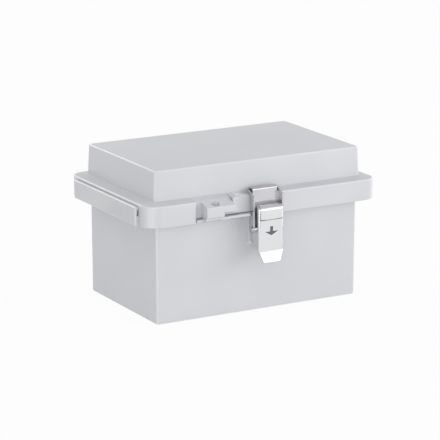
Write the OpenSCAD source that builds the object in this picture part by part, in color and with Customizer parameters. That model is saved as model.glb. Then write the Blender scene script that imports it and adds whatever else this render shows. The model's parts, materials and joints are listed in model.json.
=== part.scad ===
// Hinged polycarbonate enclosure: a tapered tub and a raised lid that meet at a wide rim flange,
// with two pinned hinges at the back, a stainless draw latch and a padlock eye at the front.
// X runs along the long side, the latch faces -Y, and Z is up from the underside of the base.

/* [Enclosure] */
// Length of the lid's top face, along X
lid_length = 161.5; // [140:0.5:260]
// Width of the lid's top face, along Y
lid_width = 100; // [80:1:180]
// Height of the rim flange's underside above the foot of the base
flange_z = 70.6; // [66:0.1:140]
// Height of the raised lid above the rim flange
lid_rise = 20.95; // [12:0.05:60]
// Thickness of the moulded walls, floor and top
wall = 2.8; // [2.2:0.1:3.2]
// Draft of the base walls in degrees
base_draft = 0.3; // [0.3:0.05:1]
// Draft of the raised lid walls in degrees
lid_draft = 2.95; // [1:0.05:4]
// Radius of the base's upright corners at its foot
base_corner = 2.4; // [2.3:0.1:5]
// Radius of the raised lid's upright corners at its top
lid_corner = 1.95; // [1.9:0.05:5]
// Radius of the lid's top edge
top_round = 1.8; // [0.8:0.1:1.8]
// Radius of the base's bottom edge
foot_round = 1.6; // [0.5:0.1:1.8]

/* [Rim flange] */
// How far the flange stands out past the foot of the raised lid
flange_overhang = 9.45; // [9:0.05:11]
// Height of the flange at the foot of the raised lid
flange_height = 16.2; // [15.8:0.1:18]
// How much the flange's top falls towards its outer edge
flange_fall = 1.4; // [0.5:0.1:2]
// Radius of the flange's upright corners
flange_corner = 11; // [9:0.5:12]
// How far the base's end walls stand inside the foot of the raised lid
end_inset = 1.85; // [1.2:0.05:2.4]
// How far the base's front and back walls stand inside the foot of the raised lid
front_inset = 1.05; // [1:0.05:1.6]
// Thickness of the base's own flange plate
plate = 2.1; // [1.8:0.1:2.6]
// Thickness of the lid's skirt
skirt = 2.6; // [2.2:0.1:3]
// Gap between the lid and the base's plate
parting = 0.3; // [0.2:0.05:0.5]
// Rounding of the flange's outer top edge
rim_round = 1.3; // [0.6:0.1:1.8]

/* [Seal] */
// Thickness of the tongue on the base's mouth
tongue = 2.1; // [1.6:0.1:2.4]
// Width of the gasket
gasket_width = 3.6; // [3:0.1:4]
// Thickness of the gasket
gasket_height = 2.4; // [1.8:0.1:3]
// Gap between the tongue and the gasket before the latch pulls down
seal_gap = 0.3; // [0.2:0.05:0.5]
// Thickness of the ribs beside the gasket groove
groove_rib = 1.8; // [1.4:0.1:2.2]

/* [Padlock eye] */
// Distance of the eye from the middle of the latch, along X
eye_x = 40.6; // [36:0.1:55]
// Radius of the padlock hole
eye_radius = 3.15; // [2:0.05:3.3]
// How far the eye stands out past the flange
eye_reach = 5; // [4.6:0.1:7]
// Length of the lid's lug, along X
eye_length = 22; // [20:0.5:30]
// Depth of the recess in the skirt behind the eye and latch
recess = 3.6; // [3.3:0.1:4]

/* [Hinges] */
// Distance between the middles of the two hinges
hinge_spacing = 100; // [70:1:120]
// Radius of the hinge pins
hinge_pin_radius = 2; // [1.5:0.1:2.4]
// Outside radius of the hinge knuckles
knuckle_radius = 4; // [3.6:0.1:4.4]
// Length of the lid's middle knuckle
lid_knuckle = 16; // [10:1:24]
// Length of each of the base's outer knuckles
base_knuckle = 8; // [6:1:12]

/* [Latch] */
// Width over the lever's side walls
lever_width = 19.4; // [16:0.1:24]
// Thickness of the latch's stainless sheet
sheet = 1; // [0.8:0.1:1.2]
// Height of the lever's pivot above the flange's underside
pivot_rise = 4.4; // [4:0.1:5]
// Distance from the lever's pivot down to the hook's pivot
pivot_drop = 13.7; // [12:0.1:15]
// Distance from the lever's pivot down to the bend of its finger tip
tip_drop = 28.6; // [26:0.1:34]
// Radius of the lever's pivot pin
pivot_radius = 2.2; // [1.6:0.1:2.3]
// Radius of the hook's rivets
rivet_radius = 1.5; // [1.2:0.1:1.8]
// Radius of the bracket's screws
screw_radius = 1.5; // [1.2:0.1:2]
// Distance between the bracket's two screws
screw_spacing = 9; // [8:0.5:10]

/* [Cover strips] */
// How far a strip stands out past the flange
strip_reach = 2.9; // [2.8:0.05:5]
// Length of a strip, along Y
strip_length = 93; // [60:1:100]
// Gap that shows between the top of a strip and the skirt
strip_gap = 1.2; // [0.5:0.1:1.2]
// Number of tongues that hold a strip
strip_tongues = 3; // [2:1:4]

/* [Inside and fixing] */
// Distance between the wall fixing holes along X
fixing_x = 138; // [110:1:138]
// Distance between the wall fixing holes along Y
fixing_y = 78; // [60:1:78]
// Radius of the wall fixing holes
fixing_radius = 2.3; // [1.8:0.1:2.6]
// Distance between the mounting bosses along X
boss_x = 118; // [80:1:118]
// Distance between the mounting bosses along Y
boss_y = 60; // [40:1:60]
// Outside radius of the mounting bosses
boss_radius = 4.5; // [4:0.1:5]
// Height of the mounting bosses above the floor
boss_height = 10; // [9:0.5:20]
// Outside radius of the brass inserts
insert_radius = 2.8; // [2.5:0.1:3]
// Radius of the thread core in the inserts
thread_radius = 1.65; // [1.2:0.05:1.9]
// Length of the brass inserts
insert_length = 7; // [5:0.5:8]

/* [Hidden] */
$fn = 64;
// working clearances
touch = 0.3;
running = 0.06;
seat = 0.02;
over = 1;
// raised lid
lid_lean = lid_rise * tan(lid_draft);
foot_x = lid_length / 2 + lid_lean;
foot_y = lid_width / 2 + lid_lean;
foot_z = flange_z + flange_height;
top_z = foot_z + lid_rise;
lid_cx = lid_length / 2 - lid_corner;
lid_cy = lid_width / 2 - lid_corner;
foot_corner = lid_corner + lid_lean;
// rim flange
rim_x = foot_x + flange_overhang;
rim_y = foot_y + flange_overhang;
rim_z = foot_z - flange_fall;
rim_cx = rim_x - flange_corner;
rim_cy = rim_y - flange_corner;
plate_z = flange_z + plate;
skirt_z = plate_z + parting;
roof_z = rim_z - 1.8;
recess_y = rim_y - recess;
plate_in = skirt + 0.8;
// base
base_slope = tan(base_draft);
base_x = foot_x - end_inset;
base_y = foot_y - front_inset;
mouth_corner = base_corner + plate_z * base_slope;
base_cx = base_x - mouth_corner;
base_cy = base_y - mouth_corner;
// seal: the tongue's middle line is also the gasket's
seal_x = base_x - 0.4 - tongue / 2;
seal_y = base_y - 0.4 - tongue / 2;
gasket_z = roof_z - gasket_height;
tongue_z = gasket_z - seal_gap;
groove_in = gasket_width / 2 + 0.2 + groove_rib;
groove_out = gasket_width / 2 + 0.2;
// locating upstand on the base's flange plate
upstand_out = skirt + 1.5;
upstand_wide = 1.8;
upstand_z = plate_z + 3.8;
// padlock eye
eye_y = rim_y + 0.3;
eye_front = rim_y + eye_reach;
eye_left = -eye_x - 8.4;
eye_right = eye_left + eye_length;
eye_step = -eye_x + 5.1;
eye_top = rim_z - 4;
eye_low = flange_z + 3.7;
recess_fall = (foot_z - eye_top) / (eye_front - foot_y);
post_left = eye_right + 0.5;
post_wide = 4.5;
// hinges
hinge_y = rim_y + knuckle_radius + 1;
hinge_z = skirt_z;
// latch
hook_out = lever_width / 2 + 1.1 + sheet;
hook_in = hook_out - sheet;
bracket_half = lever_width / 2 - sheet - 0.2;
notch_half = hook_out + 0.5;
pad_half = bracket_half + 1.8;
latch_front = rim_y + 6.9;
roll_radius = pivot_radius + running + sheet;
pivot_y = latch_front - roll_radius;
pivot_z = flange_z + pivot_rise;
rivet_y = pivot_y - 3.5;
rivet_z = pivot_z - pivot_drop;
bend_z = pivot_z - tip_drop;
leg_drop = 6.3;
window_drop = leg_drop + 0.6;
pad_y = recess_y - 2.9;
pad_low = flange_z - 22.9;
inner_pad_y = base_y - wall - 1.4;
screw_z = flange_z - 13;
hook_web_y = recess_y + touch;
hook_top = foot_z + 2.8;
head_half = hook_in - 1.2;
relief_z = hook_top - 4;
ear_back = recess_y - 1.1;
ear_y = ear_back + (hook_top - 1.4 - relief_z) / 0.53;
lip_y = foot_y + 1.05;
bend = 0.6;
recess_left = eye_left - 5.3;
recess_right = notch_half;
// cover strips
strip_half = strip_length / 2;
strip_top = rim_z - 1.4;
strip_step = flange_z + 6.8;
strip_out = rim_x + strip_reach;
tongue_wide = 10;
tongue_thick = 1.8;
tongue_low = skirt_z + 1.4;
// inside
collar_height = 4;

// ---- shared shapes ----

// A profile of distance outward and height, carried round a rectangle with quarter turns.
module sweep(cx, cy) {
    for (k = [0:3]) {
        a = k % 2 == 0 ? cx : cy;
        b = k % 2 == 0 ? cy : cx;
        rotate([0, 0, 90 * k]) {
            translate([-a, b, 0]) rotate([90, 0, 90]) linear_extrude(2 * a) children();
            translate([a, b, 0]) rotate_extrude(angle = 90) children();
        }
    }
}

// A block between two heights, centred on the Z axis.
module core(hx, hy, z0, z1) {
    translate([-hx, -hy, z0]) cube([2 * hx, 2 * hy, z1 - z0]);
}

// A rectangle with round corners.
module rounded_rect(hx, hy, r) {
    square([2 * hx, 2 * (hy - r)], center = true);
    square([2 * (hx - r), 2 * hy], center = true);
    for (sx = [-1, 1], sy = [-1, 1]) translate([sx * (hx - r), sy * (hy - r)]) circle(r);
}

// A flat ring between two rounded rectangles.
module ring(hx, hy, r, width, z0, z1) {
    translate([0, 0, z0]) linear_extrude(z1 - z0) difference() {
        rounded_rect(hx, hy, r);
        rounded_rect(hx - width, hy - width, max(r - width, 0.5));
    }
}

// A drawing in the Y-Z plane, given as distance to the front and height, made wide along X.
module across(x0, x1) {
    translate([x0, 0, 0]) rotate([90, 0, 90]) linear_extrude(x1 - x0) mirror([1, 0]) children();
}

// ---- moulded base ----

module base_outside() {
    r = foot_round;
    c = [mouth_corner - (plate_z - r) * base_slope - r / cos(base_draft), r];
    t = c + r * [cos(base_draft), -sin(base_draft)];
    sweep(base_cx, base_cy) {
        polygon([[0, 0], [c[0], 0], c, t, [mouth_corner, plate_z], [0, plate_z]]);
        intersection() {
            translate(c) circle(r);
            translate([c[0] - 0.5, 0]) square(2 * r);
        }
    }
    core(base_cx, base_cy, 0, plate_z);
}

module base_inside() {
    r0 = max(base_corner - wall, 0.6);
    r1 = r0 + (plate_z - wall) * base_slope;
    cx = base_x - wall - r1;
    cy = base_y - wall - r1;
    sweep(cx, cy) polygon([[0, wall], [r0, wall], [r1, plate_z], [r1, plate_z + over], [0, plate_z + over]]);
    core(cx, cy, wall, plate_z + over);
}

// The plate stays inside the lid's skirt, and comes out to the rim only under the front recess.
module base_flange() {
    r = flange_corner - plate_in;
    sweep(rim_cx, rim_cy) polygon([
        [0, flange_z], [r - 0.5, flange_z], [r, flange_z + 0.5], [r, plate_z], [0, plate_z]
    ]);
    inward = base_x - wall / 2;
    ring(rim_cx + 2, rim_cy + 2, 0.5, rim_cx + 2 - inward, flange_z, plate_z);
    across(recess_left + touch, recess_right - touch) polygon([
        [rim_y - plate_in - 1, flange_z], [rim_y - 0.5, flange_z], [rim_y, flange_z + 0.5],
        [rim_y, plate_z], [rim_y - plate_in - 1, plate_z]
    ]);
}

module base_tongue() {
    r0 = 0.6;
    sweep(seal_x - tongue / 2 - r0, seal_y - tongue / 2 - r0) {
        translate([r0, plate_z - over]) square([tongue, tongue_z - tongue / 2 - plate_z + over]);
        translate([r0 + tongue / 2, tongue_z - tongue / 2]) circle(tongue / 2);
    }
}

module base_upstand() {
    difference() {
        ring(rim_x - upstand_out, rim_y - upstand_out, flange_corner - upstand_out, upstand_wide,
             plate_z - 0.2, upstand_z);
        translate([recess_left - skirt - 1.2, -rim_y, plate_z - over])
            cube([recess_right - recess_left + 2 * skirt + 2.4, upstand_out + 6, 10]);
    }
}

module latch_pad() {
    across(-pad_half, pad_half) polygon([
        [base_y - wall / 2, pad_low], [base_y - 0.4, pad_low], [pad_y, pad_low + 3.3],
        [pad_y, flange_z + 0.1], [base_y - wall / 2, flange_z + 0.1]
    ]);
    translate([-screw_spacing / 2 - 6, -base_y + wall / 2, screw_z - 8])
        cube([screw_spacing + 12, base_y - wall / 2 - inner_pad_y, 16]);
}

// The base's half of the eye, its underside sloping up to a thin round-cornered front edge.
module base_eye() {
    x0 = eye_left + touch;
    x1 = eye_step - touch;
    y1 = eye_front - 0.8;
    back = recess_y + touch;
    top = eye_low - touch;
    intersection() {
        across(x0, x1) polygon([[back, flange_z], [rim_y, flange_z], [y1, top - 0.9], [y1, top], [back, top]]);
        translate([0, 0, flange_z]) linear_extrude(top - flange_z) {
            translate([x0, -y1 + 2]) square([x1 - x0, y1 - 2 - back]);
            translate([x0 + 2, -y1]) square([x1 - x0 - 4, 3]);
            for (x = [x0 + 2, x1 - 2]) translate([x, -y1 + 2]) circle(2);
        }
    }
}

module base_hinge(x) {
    for (s = [-1, 1]) {
        x0 = x + s * (lid_knuckle / 2 + touch + base_knuckle / 2) - base_knuckle / 2;
        translate([x0, hinge_y, hinge_z]) rotate([0, 90, 0]) cylinder(h = base_knuckle, r = knuckle_radius);
        translate([x0, rim_y - plate_in - 1, flange_z])
            cube([base_knuckle, hinge_y - rim_y + plate_in + 1, plate]);
    }
}

module mounting_bosses() {
    for (sx = [-1, 1], sy = [-1, 1]) {
        translate([sx * boss_x / 2, sy * boss_y / 2, wall - 0.2]) {
            cylinder(h = boss_height + 0.2, r = boss_radius);
            for (a = [0, 90]) rotate([0, 0, a])
                translate([-boss_radius - 2.5, -0.8, 0]) cube([2 * boss_radius + 5, 1.6, boss_height - 4]);
        }
        translate([sx * fixing_x / 2, sy * fixing_y / 2, wall - 0.2])
            cylinder(h = collar_height + 0.2, r = fixing_radius + 2.2);
    }
}

module base() {
    color([0.84, 0.85, 0.86]) difference() {
        union() {
            difference() {
                union() {
                    base_outside();
                    base_flange();
                }
                base_inside();
            }
            base_tongue();
            base_upstand();
            latch_pad();
            base_eye();
            mounting_bosses();
            for (s = [-1, 1]) base_hinge(s * hinge_spacing / 2);
        }
        translate([-notch_half, -rim_y - 1, flange_z - 0.1])
            cube([2 * notch_half, rim_y + 1 - recess_y, plate + 0.2]);
        translate([-eye_x, -eye_y, flange_z - over]) cylinder(h = 10, r = eye_radius);
        for (s = [-1, 1]) translate([s * hinge_spacing / 2 - lid_knuckle - base_knuckle, hinge_y, hinge_z])
            rotate([0, 90, 0]) cylinder(h = 2 * (lid_knuckle + base_knuckle), r = hinge_pin_radius + seat);
        for (s = [-1, 1]) translate([s * screw_spacing / 2, -pad_y - over, screw_z])
            rotate([-90, 0, 0]) cylinder(h = pad_y, r = screw_radius + 0.15);
        for (sx = [-1, 1], sy = [-1, 1]) {
            translate([sx * fixing_x / 2, sy * fixing_y / 2, -over])
                cylinder(h = wall + collar_height + 2 * over, r = fixing_radius);
            translate([sx * boss_x / 2, sy * boss_y / 2, wall + boss_height - insert_length])
                cylinder(h = insert_length + over, r = insert_radius + seat);
        }
    }
}

// ---- moulded lid ----

module lid_outside() {
    d = lid_draft;
    c = [lid_corner + top_round * tan(d) - top_round / cos(d), top_z - top_round];
    t = c + top_round * [cos(d), sin(d)];
    sweep(lid_cx, lid_cy) {
        polygon([
            [0, roof_z], [foot_corner + (foot_z - roof_z) * tan(d), roof_z], t, c, [c[0], top_z], [0, top_z]
        ]);
        intersection() {
            translate(c) circle(top_round);
            translate([0, foot_z]) square([foot_corner, lid_rise + over]);
        }
    }
    core(lid_cx, lid_cy, roof_z, top_z);
}

module lid_inside() {
    r1 = max(lid_corner - wall, 0.3);
    r0 = r1 + (lid_rise - wall) * tan(lid_draft);
    cx = foot_x - wall - r0;
    cy = foot_y - wall - r0;
    sweep(cx, cy) polygon([[0, foot_z], [r0, foot_z], [r1, top_z - wall], [0, top_z - wall]]);
    core(cx, cy, foot_z - 0.01, top_z - wall);
    core(seal_x - groove_in, seal_y - groove_in, roof_z - over, foot_z + over);
}

module lid_flange() {
    slope = flange_fall / flange_overhang;
    edge = rim_z + rim_round * slope;
    c = [flange_corner - rim_round, rim_z + rim_round * slope - rim_round];
    sweep(rim_cx, rim_cy) {
        polygon([
            [0, roof_z], [flange_corner - skirt, roof_z], [flange_corner - skirt, flange_z],
            [flange_corner - 0.5, flange_z], [flange_corner, flange_z + 0.5], [flange_corner, c[1]],
            c, [c[0], edge],
            [0.2, foot_z + (foot_x - rim_cx - 0.2) * slope], [0, foot_z + (foot_x - rim_cx - 0.2) * slope]
        ]);
        translate(c) circle(rim_round);
    }
    ring(rim_cx + 0.8, rim_cy + 0.8, 0.3, rim_cx + 0.8 - (seal_x - groove_in), roof_z, foot_z);
}

module lid_groove() {
    ring(seal_x + groove_out + groove_rib, seal_y + groove_out + groove_rib, 4, groove_rib,
         tongue_z - 2.4, roof_z + 0.2);
    ring(seal_x - groove_out, seal_y - groove_out, 2, groove_rib, tongue_z - 1.9, roof_z + 0.2);
}

// Webs that tie the skirt to the groove's outer rib, spread evenly along each side.
module skirt_webs() {
    reach = rim_x - skirt - (seal_x + groove_out + 0.2);
    for (s = [-1, 1], k = [-2:2]) {
        translate([k * rim_cx / 2.6 - 0.8, s * (rim_y - skirt / 2 - reach / 2 + 0.4) - reach / 2, roof_z - 4.6])
            cube([1.6, reach, 4.8]);
    }
    for (s = [-1, 1], k = [-1:1]) {
        translate([s * (rim_x - skirt / 2 - reach / 2 + 0.4) - reach / 2, k * rim_cy / 1.6 - 0.8, roof_z - 4.6])
            cube([reach, 1.6, 4.8]);
    }
}

// The front recess: the skirt is cut away, and the flange's top falls steeply towards the eye.
module recess_cut() {
    rounding = 2;
    z0 = flange_z - over;
    z1 = foot_z + over;
    translate([recess_left, -rim_y - over, z0])
        cube([recess_right - recess_left, rim_y + over - recess_y, z1 - z0]);
    translate([recess_left - rounding, -rim_y - over, z0]) difference() {
        cube([rounding + over, rounding + over, z1 - z0]);
        translate([0, over + rounding, -over]) cylinder(h = z1 - z0 + 2 * over, r = rounding);
    }
    across(recess_left, recess_right) polygon([
        [foot_y, foot_z], [rim_y + over, fallen(rim_y + over)], [rim_y + over, z1], [foot_y, z1]
    ]);
}

module recess_wall() {
    translate([recess_left - skirt, -recess_y, skirt_z])
        cube([recess_right - recess_left + 2 * skirt, skirt - 0.2, roof_z + 0.5 - skirt_z]);
    for (x = [recess_left - skirt, recess_right])
        translate([x, -rim_y + skirt, skirt_z]) cube([skirt, recess, roof_z + 0.5 - skirt_z]);
}

module eye_lug() {
    r = 1;
    back = recess_y - over;
    c = [eye_front - r, fallen(eye_front - r) - r / cos(atan(recess_fall))];
    difference() {
        across(eye_left, eye_right) {
            polygon([
                [back, eye_low], [eye_front, eye_low], [eye_front, c[1]], c,
                c + r * [sin(atan(recess_fall)), cos(atan(recess_fall))], [back, fallen(back)]
            ]);
            translate(c) circle(r);
        }
        translate([eye_step, -eye_front - over, eye_low - over])
            cube([eye_right - eye_step + over, eye_front - recess_y + over, 3.8]);
    }
}

// The post beside the eye, which keeps the flange's ordinary top.
module recess_post() {
    back = foot_y - over;
    gentle = flange_fall / flange_overhang;
    across(post_left, post_left + post_wide) polygon([
        [recess_y - over, skirt_z + 2.3], [rim_y, skirt_z + 2.3], [rim_y, rim_z - 0.3], [rim_y - 0.3, rim_z],
        [back, foot_z + over * gentle], [back, roof_z + 0.1], [recess_y - over, roof_z + 0.1]
    ]);
}

function fallen(y) = foot_z - (y - foot_y) * recess_fall;

module lid_hinge(x) {
    translate([x - lid_knuckle / 2, hinge_y, hinge_z])
        rotate([0, 90, 0]) cylinder(h = lid_knuckle, r = knuckle_radius);
    translate([x - lid_knuckle / 2, rim_y - 1, hinge_z + 0.4])
        cube([lid_knuckle, hinge_y - rim_y + 1, knuckle_radius - 0.4]);
}

// Room in the skirt for the base's hinge arms.
module hinge_notch(x) {
    half = lid_knuckle / 2 + touch + base_knuckle + 0.5;
    translate([x - half, rim_y - skirt - 0.5, flange_z - over])
        cube([2 * half, skirt + 1, skirt_z - flange_z + over]);
}

module strip_slots(s) {
    for (k = [0:strip_tongues - 1])
        translate([s * (rim_x - skirt / 2) - skirt, tongue_y(k) - tongue_wide / 2 - 0.2, tongue_low - 0.2])
            cube([2 * skirt, tongue_wide + 0.4, tongue_thick + 0.4]);
}

module lid() {
    color([0.84, 0.85, 0.86]) difference() {
        union() {
            difference() {
                union() {
                    lid_outside();
                    lid_flange();
                    skirt_webs();
                }
                lid_inside();
                recess_cut();
            }
            lid_groove();
            recess_wall();
            eye_lug();
            recess_post();
            for (s = [-1, 1]) lid_hinge(s * hinge_spacing / 2);
        }
        translate([-eye_x, -eye_y, skirt_z]) cylinder(h = flange_height, r = eye_radius);
        for (s = [-1, 1]) {
            strip_slots(s);
            hinge_notch(s * hinge_spacing / 2);
            translate([s * hinge_spacing / 2 - lid_knuckle, hinge_y, hinge_z])
                rotate([0, 90, 0]) cylinder(h = 2 * lid_knuckle, r = hinge_pin_radius + running);
        }
    }
}

// ---- seal ----

module lid_gasket() {
    color([0.25, 0.26, 0.27])
        ring(seal_x + gasket_width / 2, seal_y + gasket_width / 2, 3.6, gasket_width, gasket_z, roof_z);
}

// ---- cover strips ----

function tongue_y(k) = (k - (strip_tongues - 1) / 2) * strip_length / (strip_tongues + 0.5);

module cover_strip() {
    r = 1.3;
    difference() {
        rotate([90, 0, 0]) translate([0, 0, -strip_half]) linear_extrude(strip_length) {
            polygon([
                [rim_x, flange_z], [strip_out - r, flange_z],
                [strip_out - r, flange_z + r], [strip_out, flange_z + r], [strip_out, strip_top - r],
                [strip_out - r, strip_top - r], [strip_out - r, strip_top],
                [rim_x + strip_gap + 0.2, strip_top], [rim_x + strip_gap, strip_top - 0.2],
                [rim_x + strip_gap, strip_step], [rim_x, strip_step]
            ]);
            for (z = [flange_z + r, strip_top - r]) translate([strip_out - r, z]) circle(r);
        }
        for (s = [-1, 1]) mirror([0, s > 0 ? 1 : 0, 0])
            translate([strip_out - r, -strip_half + r, flange_z - over]) difference() {
                translate([0, -2 * r, 0]) cube([2 * r, 2 * r, strip_top - flange_z + 2 * over]);
                translate([0, 0, -over]) cylinder(h = strip_top - flange_z + 4 * over, r = r);
            }
    }
    for (k = [0:strip_tongues - 1])
        translate([rim_x - skirt - 0.4, tongue_y(k) - tongue_wide / 2, tongue_low])
            cube([skirt + 0.6, tongue_wide, tongue_thick]);
}

module right_cover_strip() {
    color([0.8, 0.81, 0.82]) cover_strip();
}

module left_cover_strip() {
    color([0.8, 0.81, 0.82]) mirror([1, 0, 0]) cover_strip();
}

// ---- hinge pins ----

module hinge_pin(x) {
    h = lid_knuckle + 2 * touch + 2 * base_knuckle - 1;
    color([0.7, 0.71, 0.73]) translate([x - h / 2, hinge_y, hinge_z]) rotate([0, 90, 0]) union() {
        translate([0, 0, 0.4]) cylinder(h = h - 0.8, r = hinge_pin_radius);
        cylinder(h = 0.4, r1 = hinge_pin_radius - 0.4, r2 = hinge_pin_radius);
        translate([0, 0, h - 0.4]) cylinder(h = 0.4, r1 = hinge_pin_radius, r2 = hinge_pin_radius - 0.4);
    }
}

module left_hinge_pin() { hinge_pin(-hinge_spacing / 2); }

module right_hinge_pin() { hinge_pin(hinge_spacing / 2); }

// ---- draw latch ----

// Plan of a block from one distance to another, its corners at the first distance rounded.
module channel_block(half, first, last, r) {
    translate([-half, r - first]) square([2 * half, first - r - last]);
    translate([-half + r, -first]) square([2 * (half - r), 2 * r]);
    for (s = [-1, 1]) translate([s * (half - r), r - first]) circle(r);
}

// Plan of a bent sheet channel, its web at the first distance and its sides running to the last.
module channel(half, first, last) {
    difference() {
        channel_block(half, first, last, sheet + bend);
        channel_block(half - sheet, first - sheet, last - over, bend);
    }
}

// The sheet lies on the pad, ramps out under the flange, folds over the pivot pin and ends in a
// short leg with round corners that fills the lever's window.
module latch_bracket() {
    low = screw_z - 7.5;
    knee = screw_z + 6.5;
    back = pivot_y - roll_radius;
    rise = back - pad_y;
    mitre = sheet * 0.41;
    corner = 1.3;
    leg_low = pivot_z - leg_drop;
    color([0.72, 0.73, 0.75]) difference() {
        union() {
            across(-bracket_half, bracket_half) {
                polygon([
                    [pad_y, low], [pad_y + sheet, low], [pad_y + sheet, knee - mitre],
                    [back + sheet, knee + rise - mitre], [back + sheet, pivot_z],
                    [back, pivot_z], [back, knee + rise], [pad_y, knee]
                ]);
                translate([pivot_y, pivot_z]) difference() {
                    circle(roll_radius);
                    circle(roll_radius - sheet);
                    translate([-roll_radius, -2 * roll_radius]) square(2 * roll_radius);
                }
            }
            translate([0, sheet - latch_front, 0]) rotate([90, 0, 0]) linear_extrude(sheet) {
                translate([-bracket_half, leg_low + corner]) square([2 * bracket_half, leg_drop - corner]);
                translate([corner - bracket_half, leg_low]) square([2 * (bracket_half - corner), 2 * corner]);
                for (s = [-1, 1]) translate([s * (bracket_half - corner), leg_low + corner]) circle(corner);
            }
        }
        for (s = [-1, 1]) translate([s * screw_spacing / 2, -pad_y - 2 * sheet, screw_z])
            rotate([-90, 0, 0]) cylinder(h = 3 * sheet, r = screw_radius + 0.15);
    }
}

// Side view of the lever: a straight front, a round end at the pivot and a full lower back.
module lever_profile() {
    back = recess_y + 1;
    eye = roll_radius - 0.5;
    polygon([
        [latch_front, pivot_z - 1.8], [latch_front, bend_z], [latch_front - 1.4, bend_z - 0.4],
        [back + 2.4, bend_z + 2.3], [back + 0.6, bend_z + 4.2], [back, bend_z + 6.6], [back, rivet_z + 3],
        [pivot_y - eye, pivot_z], [pivot_y + eye, pivot_z]
    ]);
    translate([pivot_y, pivot_z]) circle(eye);
}

// The finger tip flares out from the lever's lower edge and narrows to a blunt end.
module lever_tip() {
    w = lever_width / 2;
    tip_out = 1.1;
    tip_down = 8.1;
    tip_half = w - 3.6;
    low = bend_z - tip_down;
    intersection() {
        across(-w, w) {
            polygon([
                [latch_front - sheet, bend_z], [latch_front, bend_z],
                [latch_front + tip_out, low + sheet / 2], [latch_front + tip_out - sheet, low + sheet / 2]
            ]);
            translate([latch_front + tip_out - sheet / 2, low + sheet / 2]) circle(sheet / 2);
        }
        translate([0, 3 - latch_front, 0]) rotate([90, 0, 0]) linear_extrude(12) polygon([
            [0.4 - w, bend_z + over], [w - 0.4, bend_z + over], [w - 0.4, bend_z - 0.6],
            [tip_half + 0.5, low + 0.9], [tip_half - 0.6, low - over],
            [0.6 - tip_half, low - over], [-tip_half - 0.5, low + 0.9], [0.4 - w, bend_z - 0.6]
        ]);
    }
}

module latch_lever() {
    w = lever_width / 2;
    window = bracket_half + 0.12;
    window_z = pivot_z - window_drop;
    color([0.75, 0.76, 0.78]) union() {
        difference() {
            intersection() {
                across(-w, w) lever_profile();
                translate([0, 0, bend_z - over]) linear_extrude(pivot_z - bend_z + 2 * knuckle_radius)
                    channel(w, latch_front, recess_y);
            }
            translate([-window, -latch_front - over, window_z])
                cube([2 * window, sheet + bend + over, window_drop + 2 * knuckle_radius]);
            across(-w - over, w + over) {
                translate([pivot_y, pivot_z]) circle(pivot_radius + seat);
                translate([rivet_y, rivet_z]) circle(rivet_radius + seat);
            }
        }
        lever_tip();
    }
}

function arm_top(y) = hook_top - 1.4 - (y - ear_back) * 0.53;

// Side view of the hook's arms up to the relief beside its head.
module hook_arm() {
    eye = 2.5;
    front = rivet_y + eye;
    polygon([
        [front, rivet_z], [front, arm_top(front)], [ear_y, relief_z], [hook_web_y, relief_z],
        [hook_web_y, rivet_z + 4], [rivet_y - eye, rivet_z]
    ]);
    translate([rivet_y, rivet_z]) circle(eye);
}

// Side view of a block with two round top corners.
module capped(y0, y1, z0, z1, r) {
    translate([y0, z0]) square([y1 - y0, z1 - r - z0]);
    translate([y0 + r, z0]) square([y1 - y0 - 2 * r, z1 - z0]);
    for (y = [y0 + r, y1 - r]) translate([y, z1 - r]) circle(r);
}

// Side view of the hook's head: the web rises, folds back over the lid and turns down in a lip.
module hook_head() {
    lip_low = fallen(lip_y) + touch;
    difference() {
        capped(lip_y, hook_web_y + sheet, relief_z, hook_top, sheet + bend);
        capped(lip_y + sheet, hook_web_y, relief_z - over, hook_top - sheet, bend);
        translate([lip_y - over, relief_z - over])
            square([hook_web_y - lip_y + over, lip_low - relief_z + over]);
    }
}

module latch_hook() {
    web_low = pivot_z + roll_radius + 0.5;
    low = rivet_z - 3;
    ends = -rivet_y - 3;
    color([0.75, 0.76, 0.78]) union() {
        difference() {
            intersection() {
                across(-hook_out, hook_out) hook_arm();
                translate([0, 0, low]) linear_extrude(relief_z - low) mirror([0, 1])
                    channel(hook_out, -hook_web_y, ends);
            }
            translate([-hook_in, ends - over, low - over])
                cube([2 * hook_in, rivet_y + 3 + 2 * over - recess_y, web_low - low + over]);
            across(-hook_out - over, hook_out + over)
                translate([rivet_y, rivet_z]) circle(rivet_radius + running);
        }
        for (s = [-1, 1]) across(s > 0 ? hook_in : -hook_out, s > 0 ? hook_out : -hook_in) polygon([
            [ear_y, relief_z], [ear_back, arm_top(ear_back)], [ear_back, fallen(ear_back) + touch],
            [hook_web_y, fallen(hook_web_y) + touch], [hook_web_y + 1.3, fallen(hook_web_y) + touch],
            [hook_web_y + 1.3, relief_z]
        ]);
        across(-head_half, head_half) hook_head();
    }
}

module lever_pivot_pin() {
    w = lever_width / 2 + 0.2;
    color([0.7, 0.71, 0.73]) translate([-w, -pivot_y, pivot_z]) rotate([0, 90, 0])
        cylinder(h = 2 * w, r = pivot_radius);
}

module hook_rivet() {
    color([0.7, 0.71, 0.73]) translate([0, -rivet_y, rivet_z]) rotate([0, 90, 0]) {
        translate([0, 0, lever_width / 2 - sheet - 0.7]) cylinder(h = 0.7, r = rivet_radius + 0.6);
        translate([0, 0, lever_width / 2 - sheet])
            cylinder(h = hook_out + 0.2 - lever_width / 2 + sheet, r = rivet_radius);
        translate([0, 0, lever_width / 2 + 0.05])
            cylinder(h = hook_in - lever_width / 2 - 0.1, r = rivet_radius + 0.6);
        translate([0, 0, hook_out + 0.1]) cylinder(h = 0.7, r = rivet_radius + 0.6);
    }
}

module right_hook_rivet() { hook_rivet(); }

module left_hook_rivet() { mirror([1, 0, 0]) hook_rivet(); }

// ---- bracket fixings ----

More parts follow.
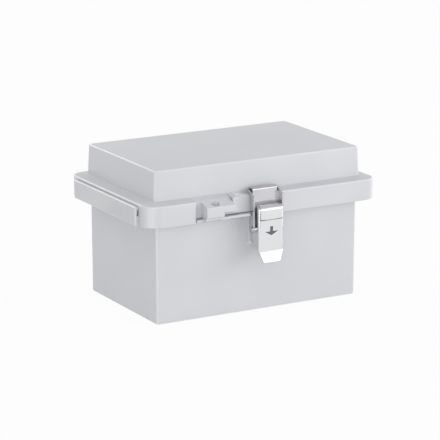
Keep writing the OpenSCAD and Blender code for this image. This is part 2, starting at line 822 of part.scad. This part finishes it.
module bracket_screws() {
    color([0.7, 0.71, 0.73]) for (s = [-1, 1]) translate([s * screw_spacing / 2, 0, screw_z])
        rotate([90, 0, 0]) difference() {
            union() {
                translate([0, 0, pad_y + sheet]) cylinder(h = 1.4, r = screw_radius + 1.1);
                translate([0, 0, inner_pad_y - 4])
                    cylinder(h = pad_y + sheet + 0.2 - inner_pad_y + 4, r = screw_radius);
            }
            translate([0, 0, pad_y + sheet + 0.6]) cylinder(h = 2, r = 1, $fn = 6);
        }
}

module backing_shape(r) {
    difference() {
        translate([-screw_spacing / 2 - 4.5, screw_z - 5]) square([screw_spacing + 9, 10]);
        for (s = [-1, 1]) translate([s * screw_spacing / 2, screw_z]) circle(r);
    }
}

module bracket_seal() {
    color([0.2, 0.2, 0.21]) translate([0, -inner_pad_y + 1, 0]) rotate([90, 0, 0])
        linear_extrude(1) backing_shape(screw_radius + seat);
}

module bracket_backing_plate() {
    color([0.7, 0.71, 0.73]) translate([0, -inner_pad_y + 2.5, 0]) rotate([90, 0, 0])
        linear_extrude(1.5) backing_shape(screw_radius + seat);
}

// ---- brass inserts ----

module boss_inserts() {
    color([0.8, 0.65, 0.35]) for (sx = [-1, 1], sy = [-1, 1])
        translate([sx * boss_x / 2, sy * boss_y / 2, wall + boss_height - insert_length]) difference() {
            cylinder(h = insert_length, r = insert_radius);
            translate([0, 0, 1]) cylinder(h = insert_length, r = thread_radius);
        }
}

base();
lid();
lid_gasket();
left_cover_strip();
right_cover_strip();
left_hinge_pin();
right_hinge_pin();
latch_bracket();
latch_lever();
latch_hook();
lever_pivot_pin();
left_hook_rivet();
right_hook_rivet();
bracket_screws();
bracket_backing_plate();
bracket_seal();
boss_inserts();
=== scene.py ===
"""Finish of the hinged polycarbonate enclosure: moulded light grey shells, a bright stainless draw
latch, a foam gasket and brass inserts, under soft studio light."""
import json
import math

import bmesh
import bpy
import numpy as np
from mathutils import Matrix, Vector


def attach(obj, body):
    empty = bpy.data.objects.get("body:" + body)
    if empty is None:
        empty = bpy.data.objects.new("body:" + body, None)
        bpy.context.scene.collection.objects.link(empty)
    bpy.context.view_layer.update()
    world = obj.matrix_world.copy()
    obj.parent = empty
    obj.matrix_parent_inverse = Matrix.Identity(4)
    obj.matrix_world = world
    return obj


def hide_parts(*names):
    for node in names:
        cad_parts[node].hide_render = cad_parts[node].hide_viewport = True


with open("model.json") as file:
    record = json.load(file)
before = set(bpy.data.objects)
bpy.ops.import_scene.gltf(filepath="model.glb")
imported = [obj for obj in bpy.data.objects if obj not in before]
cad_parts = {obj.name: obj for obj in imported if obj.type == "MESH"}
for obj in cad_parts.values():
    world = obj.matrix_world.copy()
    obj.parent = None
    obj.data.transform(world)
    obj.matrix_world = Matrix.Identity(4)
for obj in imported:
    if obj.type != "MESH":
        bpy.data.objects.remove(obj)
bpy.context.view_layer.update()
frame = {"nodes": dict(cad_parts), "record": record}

MM = 0.001  # Blender's unit is the metre; names that end in _mm, and all mesh functions, are in millimetres

# Where several sockets of a node share a name, they go by number.
VALUE_1, VALUE_2 = 0, 1
SHADER_1, SHADER_2 = 1, 2
NUMBER_A, NUMBER_B = 2, 3
COLOUR_A, COLOUR_B, MIXED_COLOUR = 6, 7, 2


# ---------------------------------------------------------------- colours and nodes

def linear(hex_colour):
    """An sRGB hex colour as linear RGBA: each channel goes through the sRGB curve's inverse."""
    c = np.array([int(hex_colour[i:i + 2], 16) for i in (1, 3, 5)]) / 255
    low = c / 12.92
    high = ((c + 0.055) / 1.055) ** 2.4
    return (*np.where(c <= 0.04045, low, high), 1.0)


def add(tree, kind, settings=None, links=None):
    """Adds one node, with settings by attribute or socket and links as {socket: output}. A node in
    the place of an output stands for its first output."""
    node = tree.nodes.new(kind)
    for key, value in (settings or {}).items():
        if isinstance(key, str) and hasattr(node, key):
            setattr(node, key, value)
        else:
            node.inputs[key].default_value = value
    for key, source in (links or {}).items():
        output = source.outputs[0] if isinstance(source, bpy.types.Node) else source
        tree.links.new(output, node.inputs[key])
    return node


def new_material(name):
    """An empty node material, with its tree and its output node."""
    m = bpy.data.materials.new(name)
    m.use_nodes = True
    m.node_tree.nodes.clear()
    return m, m.node_tree, m.node_tree.nodes.new("ShaderNodeOutputMaterial")


# ---------------------------------------------------------------- materials

def turned_away(t):
    """How far a face is turned from the three main directions: the largest part of its direction,
    mapped so that about 15 degrees off gives 0, as on the walls, and 39 degrees gives 1, as on a
    round."""
    normal = add(t, "ShaderNodeTexCoord").outputs["Normal"]
    size = add(t, "ShaderNodeVectorMath", {"operation": "ABSOLUTE"}, {"Vector": normal})
    part = add(t, "ShaderNodeSeparateXYZ", None, {"Vector": size}).outputs
    wide = add(t, "ShaderNodeMath", {"operation": "MAXIMUM"}, {VALUE_1: part["X"], VALUE_2: part["Y"]})
    most = add(t, "ShaderNodeMath", {"operation": "MAXIMUM"}, {VALUE_1: wide, VALUE_2: part["Z"]})
    return add(t, "ShaderNodeMapRange", {"From Min": 0.965, "From Max": 0.78}, {"Value": most})


def moulded_polycarbonate(name, pale, deep, painted_highlight_on_rounds="#E3E4E7"):
    """Light grey polycarbonate, injection moulded in a spark-eroded tool: an even matt grain, a slow
    drift of tone over the part, a slight waviness and a soft broad sheen. The rounds are smoother
    than the walls, and carry a painted highlight: their colour is mixed towards a lighter grey."""
    grain_size, wave_size, drift_size = 0.35 * MM, 9 * MM, 45 * MM
    m, t, out = new_material(name)
    co = add(t, "ShaderNodeTexCoord").outputs["Object"]
    drift = add(t, "ShaderNodeTexNoise", {"Scale": 1 / drift_size, "Detail": 1}, {"Vector": co})
    grain = add(t, "ShaderNodeTexNoise", {"Scale": 1 / grain_size, "Detail": 3}, {"Vector": co})
    waves = add(t, "ShaderNodeTexNoise", {"Scale": 1 / wave_size, "Detail": 1}, {"Vector": co})
    # Mask of the rounds: it places the painted highlight in the colour and the smoother finish.
    rounds = turned_away(t)
    tone = add(t, "ShaderNodeMapRange", {"From Min": 0.35, "From Max": 0.65}, {"Value": drift})
    wall = add(t, "ShaderNodeMix",
               {"data_type": "RGBA", COLOUR_A: linear(pale), COLOUR_B: linear(deep)}, {"Factor": tone})
    # Painted highlight: on the rounds the colour is mixed towards a lighter grey, where light catches the
    # rounded edges.
    colour = add(t, "ShaderNodeMix", {"data_type": "RGBA", COLOUR_B: linear(painted_highlight_on_rounds)},
                 {"Factor": rounds, COLOUR_A: wall.outputs[MIXED_COLOUR]})
    matt = add(t, "ShaderNodeMapRange", {"From Min": 0.3, "From Max": 0.7, "To Min": 0.33, "To Max": 0.43},
               {"Value": grain})
    rough = add(t, "ShaderNodeMix", {NUMBER_B: 0.28}, {"Factor": rounds, NUMBER_A: matt})
    fine = add(t, "ShaderNodeBump", {"Strength": 0.1, "Distance": 0.02 * MM}, {"Height": grain})
    soft = add(t, "ShaderNodeBump", {"Strength": 0.1, "Distance": 0.05 * MM},
               {"Height": waves, "Normal": fine})
    bsdf = add(t, "ShaderNodeBsdfPrincipled", {"IOR": 1.585},
               {"Base Color": colour.outputs[MIXED_COLOUR], "Roughness": rough, "Normal": soft})
    t.links.new(bsdf.outputs[0], out.inputs[0])
    return m


def rolled_stainless(name, pale, deep, roughness=0.2):
    """Stainless strip with a bright 2B mill finish, stamped and bent: fine rolling lines that run up
    and down the part, a faint drift of tone, and a mirror that is a little soft."""
    line_width, drift_size, line_stretch = 0.12 * MM, 14 * MM, 50
    m, t, out = new_material(name)
    co = add(t, "ShaderNodeTexCoord").outputs["Object"]
    along = add(t, "ShaderNodeMapping", {"Scale": (1, 1, 1 / line_stretch)}, {"Vector": co})
    lines = add(t, "ShaderNodeTexNoise", {"Scale": 1 / line_width, "Detail": 3}, {"Vector": along})
    drift = add(t, "ShaderNodeTexNoise", {"Scale": 1 / drift_size, "Detail": 1}, {"Vector": co})
    tone = add(t, "ShaderNodeMapRange", {"From Min": 0.3, "From Max": 0.7}, {"Value": drift})
    colour = add(t, "ShaderNodeMix",
                 {"data_type": "RGBA", COLOUR_A: linear(pale), COLOUR_B: linear(deep)}, {"Factor": tone})
    smoothest, roughest = roughness - 0.02, roughness + 0.03
    rough = add(t, "ShaderNodeMapRange",
                {"From Min": 0.3, "From Max": 0.7, "To Min": smoothest, "To Max": roughest},
                {"Value": lines})
    bump = add(t, "ShaderNodeBump", {"Strength": 0.02, "Distance": 0.01 * MM}, {"Height": lines})
    bsdf = add(t, "ShaderNodeBsdfPrincipled", {"Metallic": 1.0},
               {"Base Color": colour.outputs[MIXED_COLOUR], "Roughness": rough, "Normal": bump})
    t.links.new(bsdf.outputs[0], out.inputs[0])
    return m


def turned_metal(name, pale, deep, roughness):
    """Metal turned on a lathe: a fine speckle of tone and height, which stands for the tool marks."""
    speckle_size = 0.2 * MM
    m, t, out = new_material(name)
    co = add(t, "ShaderNodeTexCoord").outputs["Object"]
    marks = add(t, "ShaderNodeTexNoise", {"Scale": 1 / speckle_size, "Detail": 3}, {"Vector": co})
    tone = add(t, "ShaderNodeMapRange", {"From Min": 0.3, "From Max": 0.7}, {"Value": marks})
    colour = add(t, "ShaderNodeMix",
                 {"data_type": "RGBA", COLOUR_A: linear(pale), COLOUR_B: linear(deep)}, {"Factor": tone})
    bump = add(t, "ShaderNodeBump", {"Strength": 0.1, "Distance": 0.01 * MM}, {"Height": marks})
    bsdf = add(t, "ShaderNodeBsdfPrincipled", {"Metallic": 1.0, "Roughness": roughness},
               {"Base Color": colour.outputs[MIXED_COLOUR], "Normal": bump})
    t.links.new(bsdf.outputs[0], out.inputs[0])
    return m


def laser_oxide(name):
    """Stainless annealed by a marking laser: a dark grey matt oxide with level scan lines. The wave
    node draws one line per 2 pi / (20 * its scale), here 0.94 mm. Real lines are far finer, and are
    drawn this coarse so that they show."""
    m, t, out = new_material(name)
    co = add(t, "ShaderNodeTexCoord").outputs["Object"]
    lines = add(t, "ShaderNodeTexWave", {"bands_direction": "Z", "Scale": 1 / (20 * 0.15 * MM)},
                {"Vector": co})
    colour = add(t, "ShaderNodeMix",
                 {"data_type": "RGBA", COLOUR_A: linear("#5E5F61"), COLOUR_B: linear("#6A6B6D")},
                 {"Factor": lines})
    bsdf = add(t, "ShaderNodeBsdfPrincipled", {"Metallic": 0.3, "Roughness": 0.55},
               {"Base Color": colour.outputs[MIXED_COLOUR]})
    t.links.new(bsdf.outputs[0], out.inputs[0])
    return m


def foamed_rubber(name):
    """Closed-cell EPDM foam, extruded and skinned: near black, dull, with small shallow pores."""
    pore_size = 0.6 * MM
    m, t, out = new_material(name)
    co = add(t, "ShaderNodeTexCoord").outputs["Object"]
    pores = add(t, "ShaderNodeTexVoronoi", {"Scale": 1 / pore_size}, {"Vector": co})
    tone = add(t, "ShaderNodeMapRange", {"From Min": 0.0, "From Max": 0.6}, {"Value": pores})
    colour = add(t, "ShaderNodeMix",
                 {"data_type": "RGBA", COLOUR_A: linear("#1B1B1D"), COLOUR_B: linear("#2C2D30")},
                 {"Factor": tone})
    bump = add(t, "ShaderNodeBump", {"Strength": 0.5, "Distance": 0.08 * MM}, {"Height": pores})
    bsdf = add(t, "ShaderNodeBsdfPrincipled", {"Roughness": 0.85, "IOR": 1.5},
               {"Base Color": colour.outputs[MIXED_COLOUR], "Normal": bump})
    t.links.new(bsdf.outputs[0], out.inputs[0])
    return m


housing = moulded_polycarbonate("moulded_polycarbonate", "#D3D4D8", "#CFD1D5")
strip_plastic = moulded_polycarbonate("moulded_polycarbonate_strip", "#D5D6D9", "#D1D2D6")
steel_sheet = rolled_stainless("rolled_stainless_sheet", "#E3E4E5", "#DFE0E2")
# Painted shade: the hook is the same stainless as the sheet, given a darker colour that stands in for the
# shade and the reflected lever and roll on its web.
hook_steel_painted_shade = rolled_stainless("rolled_stainless_hook_painted_shade", "#CFCED1", "#C9C8CB", roughness=0.24)
turned_steel = turned_metal("turned_stainless", "#D0D2D4", "#BBBDC0", roughness=0.25)
turned_brass = turned_metal("turned_brass", "#D9B872", "#C9A45C", roughness=0.3)
foam = foamed_rubber("foamed_epdm")
laser_mark = laser_oxide("laser_marked_stainless")

SLOT = {s["node"]: s["material_slot"] for s in frame["record"]["subparts"]}
BODY = {n: b for b, names in frame["record"]["behaviour"]["bodies"].items() for n in names}

SLOT_FINISH = {"housing": housing, "stainless": steel_sheet, "pins": turned_steel, "gasket": foam,
               "brass": turned_brass}
FINISH = {node: SLOT_FINISH[slot] for node, slot in SLOT.items()}
FINISH.update(left_cover_strip=strip_plastic, right_cover_strip=strip_plastic, latch_hook=hook_steel_painted_shade)


def paint(obj, material):
    """Gives the whole object one material."""
    obj.data.materials.clear()
    obj.data.materials.append(material)


for name, obj in frame["nodes"].items():
    paint(obj, FINISH[name])


# ---------------------------------------------------------------- rounded copies of the CAD nodes

# How wide the outer edges of each piece are broken, in millimetres.
EDGE_MM = {
    "base": 0.35, "lid": 0.35, "left_cover_strip": 0.3, "right_cover_strip": 0.3,
    "latch_bracket": 0.15, "latch_lever": 0.25, "latch_hook": 0.18, "lever_pivot_pin": 0.3,
    "left_hook_rivet": 0.3, "right_hook_rivet": 0.3, "left_hinge_pin": 0.3, "right_hinge_pin": 0.3,
    "bracket_screws": 0.2,
}


def beside_post(x, y, z):
    """True for the lid's upper edges in the plane of the recess post's left side, where a round
    would crack the faces beside it."""
    post_side, near, lowest = -26.5, 0.3, 80
    return abs(x - post_side) < near and z > lowest


KEEP_SHARP = {"lid": beside_post}


def broken_edges(node, width_mm, keep_sharp=None):
    """A copy of a CAD node whose sharp outer edges are broken by width_mm: its triangles are merged,
    flat faces are joined up, and each convex edge of 32 degrees or more that is longer than 1.3
    times the width gets a round of three strips. Inner corners stay sharp, and so do edges whose
    middle keep_sharp picks out."""
    merge, flat, sharpest_smooth, shortest = 0.002 * MM, math.radians(0.3), math.radians(32), 1.3
    mesh = frame["nodes"][node].data.copy()
    b = bmesh.new()
    b.from_mesh(mesh)
    bmesh.ops.remove_doubles(b, verts=b.verts, dist=merge)
    bmesh.ops.dissolve_limit(b, angle_limit=flat, verts=b.verts, edges=b.edges)
    weight = b.edges.layers.float.new("bevel_weight_edge")
    for face in b.faces:
        face.smooth = True
    for edge in b.edges:
        sharp = len(edge.link_faces) != 2 or edge.calc_face_angle(0) >= sharpest_smooth
        edge.smooth = not sharp
        middle = (edge.verts[0].co + edge.verts[1].co) / (2 * MM)
        rounded = sharp and edge.is_convex and edge.calc_length() > shortest * width_mm * MM
        edge[weight] = 1.0 if rounded and not (keep_sharp and keep_sharp(*middle)) else 0.0
    b.to_mesh(mesh)
    b.free()
    obj = bpy.data.objects.new(node + "_finished", mesh)
    bpy.context.scene.collection.objects.link(obj)
    bevel = obj.modifiers.new("broken edges", "BEVEL")
    bevel.width = width_mm * MM
    bevel.segments = 3
    bevel.limit_method = "WEIGHT"
    bevel.use_clamp_overlap = False
    bevel.harden_normals = True
    bevel.miter_outer = "MITER_ARC"
    paint(obj, FINISH[node])
    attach(obj, BODY[node])
    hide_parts(node)


for node, width_mm in EDGE_MM.items():
    broken_edges(node, width_mm, KEEP_SHARP.get(node))


# ---------------------------------------------------------------- detail pieces

def make_piece(name, points, faces, node, material, replaces=True):
    """A new mesh object from points in millimetres, riding with the body of a CAD node. Points that
    coincide are merged, and the faces are turned outwards."""
    same_point, crease = 0.0001 * MM, math.radians(40)
    mesh = bpy.data.meshes.new(name)
    mesh.from_pydata((points * MM).tolist(), [], faces)
    b = bmesh.new()
    b.from_mesh(mesh)
    bmesh.ops.remove_doubles(b, verts=b.verts, dist=same_point)
    bmesh.ops.recalc_face_normals(b, faces=b.faces)
    b.to_mesh(mesh)
    b.free()
    mesh.shade_smooth()
    mesh.set_sharp_from_angle(angle=crease)
    obj = bpy.data.objects.new(name, mesh)
    bpy.context.scene.collection.objects.link(obj)
    paint(obj, material)
    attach(obj, BODY[node])
    if replaces:
        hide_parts(node)


def node_points(node):
    """The vertices of a CAD node, in millimetres."""
    vertices = frame["nodes"][node].data.vertices
    points = np.empty(3 * len(vertices), dtype=np.float32)
    vertices.foreach_get("co", points)
    return points.astype(float).reshape(-1, 3) / MM


def foam_gasket(half_x, half_y, corner, width, top_z, depth):
    """A foam cord glued into the lid: its path is a rectangle of half sizes half_x and half_y with
    quarter circles of the corner radius, walked at even steps. Across it lies a bead: the height
    below top_z is depth times (1 - |v|^3)^(1/3) for v from -1 to 1 across the width, and a shallow
    trough of 0.25 mm times exp(-(v / 0.35)^2) runs where the rim of the base has pressed it."""
    steps_along, steps_across, back_edge = 720, 25, 0.6
    long_x, long_y = half_x - corner, half_y - corner
    arc = math.pi / 2 * corner
    sides = np.array([2 * long_x, arc, 2 * long_y, arc] * 2)
    starts = np.concatenate([[0], np.cumsum(sides)])
    s = np.linspace(0, starts[-1], steps_along, endpoint=False)
    part = np.searchsorted(starts, s, side="right") - 1
    t = (s - starts[part]) / sides[part]
    quarter = part // 2
    turn = np.where(part % 2 == 1, t, 0.0) + quarter
    outward = np.pi / 2 * (turn + 1)
    run = np.where(part % 2 == 0, 0.5 - t, -0.5)
    run_x, run_y, still = run * 2 * long_x, run * 2 * long_y, 0 * run
    cx = np.choose(quarter, [run_x, still - long_x, -run_x, still + long_x])
    cy = np.choose(quarter, [still + long_y, run_y, still - long_y, -run_y])
    x, y = cx + corner * np.cos(outward), cy + corner * np.sin(outward)
    v = np.cos(np.linspace(0, np.pi, steps_across))
    bead = depth * (1 - np.abs(v) ** 3) ** (1 / 3) - 0.25 * np.exp(-(v / 0.35) ** 2)
    v = np.concatenate([v, [-back_edge, back_edge]])
    bead = np.concatenate([bead, [0, 0]])
    across = v * width / 2
    points = np.stack([x[:, None] + np.cos(outward)[:, None] * across,
                       y[:, None] + np.sin(outward)[:, None] * across,
                       np.broadcast_to(top_z - bead, (len(s), len(v)))], -1)
    i, j = np.meshgrid(np.arange(len(s)), np.arange(len(v)), indexing="ij")
    i1, j1 = (i + 1) % len(s), (j + 1) % len(v)
    faces = np.stack([i * len(v) + j, i1 * len(v) + j, i1 * len(v) + j1, i * len(v) + j1], -1)
    return points.reshape(-1, 3), faces.reshape(-1, 4).tolist()


def triangle_wave(turns):
    """0 at each whole turn and 1 halfway between, in straight lines: twice the distance to the
    nearest whole number."""
    return 2 * np.abs(turns - np.floor(turns + 0.5))


def threaded_insert(cx, cy, low_z, high_z, outer, bore):
    """A brass insert: its section goes up the outside, in over the top, and down the bore to a floor.
    In the bore the radius is bore + 0.3 mm times a triangle wave of (height / pitch - turn), which
    is the thread. Outside, the radius drops by 0.12 mm times a triangle wave of (40 teeth * turn +
    0.6 * height), which is a leaning knurl. Both fade out over 0.5 mm at their ends."""
    steps_round, steps_outside, steps_inside = 120, 24, 90
    pitch, thread_depth, floor_thick = 0.7, 0.3, 1.0
    teeth, knurl_depth, knurl_lean = 40, 0.12, 0.6
    chamfer, mouth_width, fade = 0.3, 0.35, 0.5
    knurl_end, bore_start, thread_start = high_z - 0.9, high_z - 0.45, high_z - 0.5
    thread_end = low_z + 1.2
    angle = np.linspace(0, 2 * np.pi, steps_round + 1)[:-1]
    turn = angle[:, None] / (2 * np.pi)
    outside = np.linspace(low_z, high_z - chamfer, steps_outside)
    inside = np.linspace(bore_start, thread_end, steps_inside)
    fade_out = np.clip(np.minimum(outside - low_z, knurl_end - outside) / fade, 0, 1)
    fade_in = np.clip(np.minimum(inside - thread_end, thread_start - inside) / fade, 0, 1)
    r_out = outer - knurl_depth * fade_out * triangle_wave(teeth * turn + outside * knurl_lean)
    r_in = bore + thread_depth * fade_in * triangle_wave(inside / pitch - turn)
    ones = np.ones((len(angle), 1))
    r = np.hstack([0 * ones, (outer - chamfer) * ones, r_out, (outer - chamfer) * ones,
                   (bore + mouth_width) * ones, r_in, bore * ones, 0 * ones])
    floor_z = low_z + floor_thick
    z = np.concatenate([[low_z, low_z], outside, [high_z, high_z], inside, [floor_z, floor_z]])
    points = np.stack([cx + r * np.cos(angle)[:, None], cy + r * np.sin(angle)[:, None],
                       np.broadcast_to(z, r.shape)], -1)
    rows = len(z)
    i, j = np.meshgrid(np.arange(len(angle)), np.arange(rows - 1), indexing="ij")
    i1 = (i + 1) % len(angle)
    faces = np.stack([i * rows + j, i1 * rows + j, i1 * rows + j + 1, i * rows + j + 1], -1)
    return points.reshape(-1, 3), faces.reshape(-1, 4)


def arrow_mark(front, middle_z, half_wide, high):
    """A down arrow that a laser has left on the lever's flat face: a stem and a head, as a thin sheet
    whose outline is given by its half width at each height, mirrored about the middle. It stands
    0.02 mm proud of the face and reaches 0.04 mm into it."""
    proud, thick, stem_share, neck_drop = 0.02, 0.06, 0.22, 0.05
    stem, neck = half_wide * stem_share, middle_z - high * neck_drop
    top, tip = middle_z + high / 2, middle_z - high / 2
    right = np.array([[stem, top], [stem, neck], [half_wide, neck], [0.0, tip]])
    left = (right * [-1, 1])[-2::-1]
    x, z = np.vstack([right, left]).T
    count = len(x)
    outer = np.column_stack([x, np.full(count, -front - proud), z])
    inner = np.column_stack([x, np.full(count, -front - proud + thick), z])
    k = np.arange(count)
    sides = np.column_stack([k, (k + 1) % count, (k + 1) % count + count, k + count])
    return np.vstack([outer, inner]), [k.tolist(), (k + count).tolist()] + sides.tolist()


seal = node_points("lid_gasket")
low, high = seal.min(0), seal.max(0)
bead_width = 3.6
points, faces = foam_gasket(half_x=high[0] - bead_width / 2, half_y=high[1] - bead_width / 2,
                            corner=bead_width / 2, width=bead_width, top_z=high[2],
                            depth=high[2] - low[2])
make_piece("foam_gasket", points, faces, "lid_gasket", foam)

inserts = node_points("boss_inserts")
low, high = inserts.min(0), inserts.max(0)
insert_radius, bore_radius = 2.8, 1.65
parts = [threaded_insert(sx * (high[0] - insert_radius), sy * (high[1] - insert_radius),
                         low[2], high[2], insert_radius, bore_radius)
         for sx in (-1, 1) for sy in (-1, 1)]
points_each = len(parts[0][0])
points = np.vstack([p for p, _ in parts])
faces = np.vstack([f + k * points_each for k, (_, f) in enumerate(parts)]).tolist()
make_piece("threaded_inserts", points, faces, "boss_inserts", turned_brass)

lever = node_points("latch_lever")
mark_z = 60.5
face_y = lever[lever[:, 2] > mark_z, 1].min()
points, faces = arrow_mark(front=round(-face_y, 2), middle_z=mark_z, half_wide=5.2, high=6.4)
make_piece("lever_arrow_mark", points, faces, "latch_lever", laser_mark, replaces=False)


# ---------------------------------------------------------------- studio

def studio_floor(half=3.0):
    """A large backlit paper just under the object: white to the camera and in reflections, and to
    the rest a diffuse sheet that glows a little by itself. It is clear from below."""
    own_glow, seen_glow = 0.13, 0.93
    low = -0.1 * MM
    mesh = bpy.data.meshes.new("studio_floor")
    corners = [(-half, -half, low), (half, -half, low), (half, half, low), (-half, half, low)]
    mesh.from_pydata(corners, [], [(0, 1, 2, 3)])
    floor = bpy.data.objects.new("studio_floor", mesh)
    bpy.context.scene.collection.objects.link(floor)
    m, t, out = new_material("studio_paper")
    path = add(t, "ShaderNodeLightPath").outputs
    seen = add(t, "ShaderNodeMath", {"operation": "MAXIMUM"},
               {VALUE_1: path["Is Camera Ray"], VALUE_2: path["Is Glossy Ray"]})
    glow = add(t, "ShaderNodeMapRange", {"To Min": own_glow, "To Max": seen_glow}, {"Value": seen})
    paper = add(t, "ShaderNodeBsdfDiffuse", {"Color": linear("#F4F4F4")})
    white = add(t, "ShaderNodeEmission", {"Strength": 1.0})
    lit = add(t, "ShaderNodeMixShader", None, {"Fac": glow, SHADER_1: paper, SHADER_2: white})
    clear = add(t, "ShaderNodeBsdfTransparent")
    behind = add(t, "ShaderNodeNewGeometry").outputs["Backfacing"]
    sheet = add(t, "ShaderNodeMixShader", None, {"Fac": behind, SHADER_1: lit, SHADER_2: clear})
    t.links.new(sheet.outputs[0], out.inputs[0])
    paint(floor, m)


def soft_world(fill):
    """An even pale sky: white to the camera, a plain fill to diffuse light, and to reflections a
    white horizon under a ceiling that is a little darker."""
    world = bpy.data.worlds.new("studio")
    bpy.context.scene.world = world
    world.use_nodes = True
    t = world.node_tree
    t.nodes.clear()
    out = t.nodes.new("ShaderNodeOutputWorld")
    path = add(t, "ShaderNodeLightPath").outputs
    mirrored = add(t, "ShaderNodeMath", {"operation": "MAXIMUM"},
                   {VALUE_1: path["Is Glossy Ray"], VALUE_2: path["Is Transmission Ray"]})
    direction = add(t, "ShaderNodeTexCoord").outputs["Generated"]
    up = add(t, "ShaderNodeSeparateXYZ", None, {"Vector": direction}).outputs["Z"]
    ceiling = add(t, "ShaderNodeMapRange",
                  {"From Min": 0.35, "From Max": 0.8, "To Min": 1.0, "To Max": 0.62}, {"Value": up})
    unseen = add(t, "ShaderNodeMix", {NUMBER_A: fill}, {"Factor": mirrored, NUMBER_B: ceiling})
    strength = add(t, "ShaderNodeMix", {NUMBER_B: 1.0},
                   {"Factor": path["Is Camera Ray"], NUMBER_A: unseen})
    sky = add(t, "ShaderNodeBackground", {"Color": (1, 1, 1, 1)}, {"Strength": strength})
    t.links.new(sky.outputs[0], out.inputs[0])


def set_up(obj, place, target):
    """Puts a lamp or camera at place, turned towards target."""
    bpy.context.scene.collection.objects.link(obj)
    obj.location = place
    aim = Vector(target) - Vector(place)
    obj.rotation_euler = aim.to_track_quat("-Z", "Y").to_euler()


def softbox(name, place, width, watts):
    """A square lamp at place, turned towards the middle of the object."""
    lamp = bpy.data.lights.new(name, "AREA")
    lamp.shape = "SQUARE"
    lamp.size = width
    lamp.energy = watts
    set_up(bpy.data.objects.new(name, lamp), place, target=(0, 0, 0.05))


def main_camera(place, target, focal_mm):
    """The camera of the main view, on a 36 mm sensor."""
    data = bpy.data.cameras.new("main_camera")
    data.lens = focal_mm
    data.sensor_width = 36
    data.clip_start = 0.01
    obj = bpy.data.objects.new("main_camera", data)
    set_up(obj, place, target)
    bpy.context.scene.camera = obj


studio_floor()
soft_world(fill=0.68)
softbox("right_softbox", place=(1.6, -1.3, 0.6), width=1.0, watts=9)
softbox("low_front_softbox", place=(1.15, -2.15, 0.35), width=1.2, watts=5)
softbox("left_front_softbox", place=(-1.0, -1.9, 0.45), width=0.8, watts=7)
softbox("back_softbox", place=(-0.5, 2.0, 1.2), width=0.7, watts=7)
main_camera(place=(-0.7909, -1.3970, 0.4618), target=(-0.0024, 0.0, 0.0534), focal_mm=191.37)
bpy.context.scene.view_settings.view_transform = "Standard"
